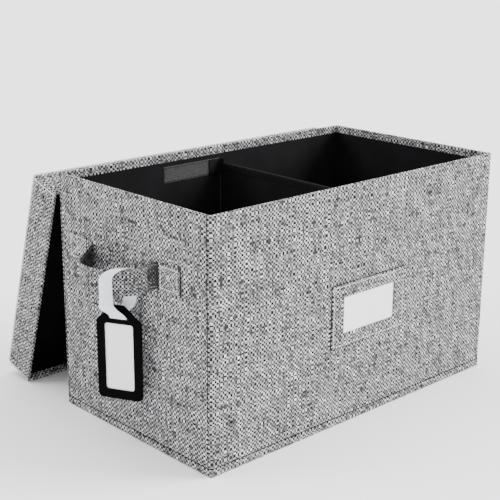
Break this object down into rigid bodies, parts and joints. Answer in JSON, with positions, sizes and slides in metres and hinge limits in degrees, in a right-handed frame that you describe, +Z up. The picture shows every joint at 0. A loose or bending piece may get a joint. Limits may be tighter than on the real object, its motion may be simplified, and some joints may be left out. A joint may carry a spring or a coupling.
{
  "type": "record carrying case",
  "caption": "Linen-covered board carrying case for long-playing records, with a lift-off tray lid, strap handles, a lift-out divider, a label pocket and a hanging tag.",
  "frame": {"origin": "centre of the base, on the surface that the case stands on", "axes": "+X along the long side, away from the hanging tag; +Y to the back, where the lid leans; +Z up"},
  "size_m": [0.7117, 0.5056, 0.365],
  "materials": {
    "linen": "heathered grey linen-look weave",
    "strap_linen": "doubled and stitched linen-look weave",
    "black_lining": "black non-woven cloth",
    "hook_and_loop": "black hook-and-loop tape",
    "board": "grey-brown millboard",
    "clear_film": "clear soft film",
    "card": "white card",
    "black_plastic": "moulded soft black plastic",
    "white_ribbon": "milky soft plastic ribbon"
  },
  "bodies": {
    "case": {"bottom_binding": "linen", "bottom_cover": "linen", "bottom_board": "board", "bottom_lining": "black_lining", "front_board": "board", "back_board": "board", "left_board": "board", "right_board": "board", "front_cover": "linen", "back_cover": "linen", "left_cover": "linen", "right_cover": "linen", "front_lining": "black_lining", "back_lining": "black_lining", "left_lining": "black_lining", "right_lining": "black_lining", "front_loop_tape": "hook_and_loop", "back_loop_tape": "hook_and_loop", "label_patch": "linen", "label_window": "clear_film", "left_front_tab": "strap_linen", "left_back_tab": "strap_linen", "right_front_tab": "strap_linen", "right_back_tab": "strap_linen"},
    "lid": {"lid_panel_board": "board", "lid_front_board": "board", "lid_back_board": "board", "lid_left_board": "board", "lid_right_board": "board", "lid_panel_cover": "linen", "lid_front_cover": "linen", "lid_back_cover": "linen", "lid_left_cover": "linen", "lid_right_cover": "linen", "lid_lining": "black_lining"},
    "floor": {"floor_board": "black_lining"},
    "divider": {"divider_board": "board", "divider_cover": "black_lining", "divider_tabs": "hook_and_loop"},
    "left_handle": {"left_grip": "strap_linen", "tag_loop": "white_ribbon"},
    "right_handle": {"right_grip": "strap_linen"},
    "tag": {"tag_frame": "black_plastic", "tag_window": "clear_film"},
    "tag_card": {"tag_card": "card"},
    "label_card": {"label_card": "card"}
  },
  "joints": [
    {"name": "lid_lift", "type": "slide", "parent": "case", "child": "lid", "axis": [0, 0, 1], "range_m": [0, 0.42]},
    {"name": "floor_lift", "type": "slide", "parent": "case", "child": "floor", "axis": [0, 0, 1], "range_m": [0, 0.4]},
    {"name": "divider_lift", "type": "slide", "parent": "floor", "child": "divider", "axis": [0, 0, 1], "range_m": [0, 0.37]},
    {"name": "left_handle_swing", "type": "hinge", "parent": "case", "child": "left_handle", "pos_m": [-0.3, 0.023, 0.2625], "axis": [0, 1, 0], "range_deg": [0, 40]},
    {"name": "right_handle_swing", "type": "hinge", "parent": "case", "child": "right_handle", "pos_m": [0.3, 0.023, 0.2625], "axis": [0, -1, 0], "range_deg": [0, 40]},
    {"name": "tag_swing", "type": "hinge", "parent": "left_handle", "child": "tag", "pos_m": [-0.33191, -0.0155, 0.198], "axis": [-0.4695, 0.8829, 0], "range_deg": [-5, 30]},
    {"name": "tag_card_slide", "type": "slide", "parent": "tag", "child": "tag_card", "axis": [-0.4695, 0.8829, 0], "range_m": [0, 0.06]},
    {"name": "label_card_slide", "type": "slide", "parent": "case", "child": "label_card", "axis": [0, 0, 1], "range_m": [0, 0.09]}
  ]
}
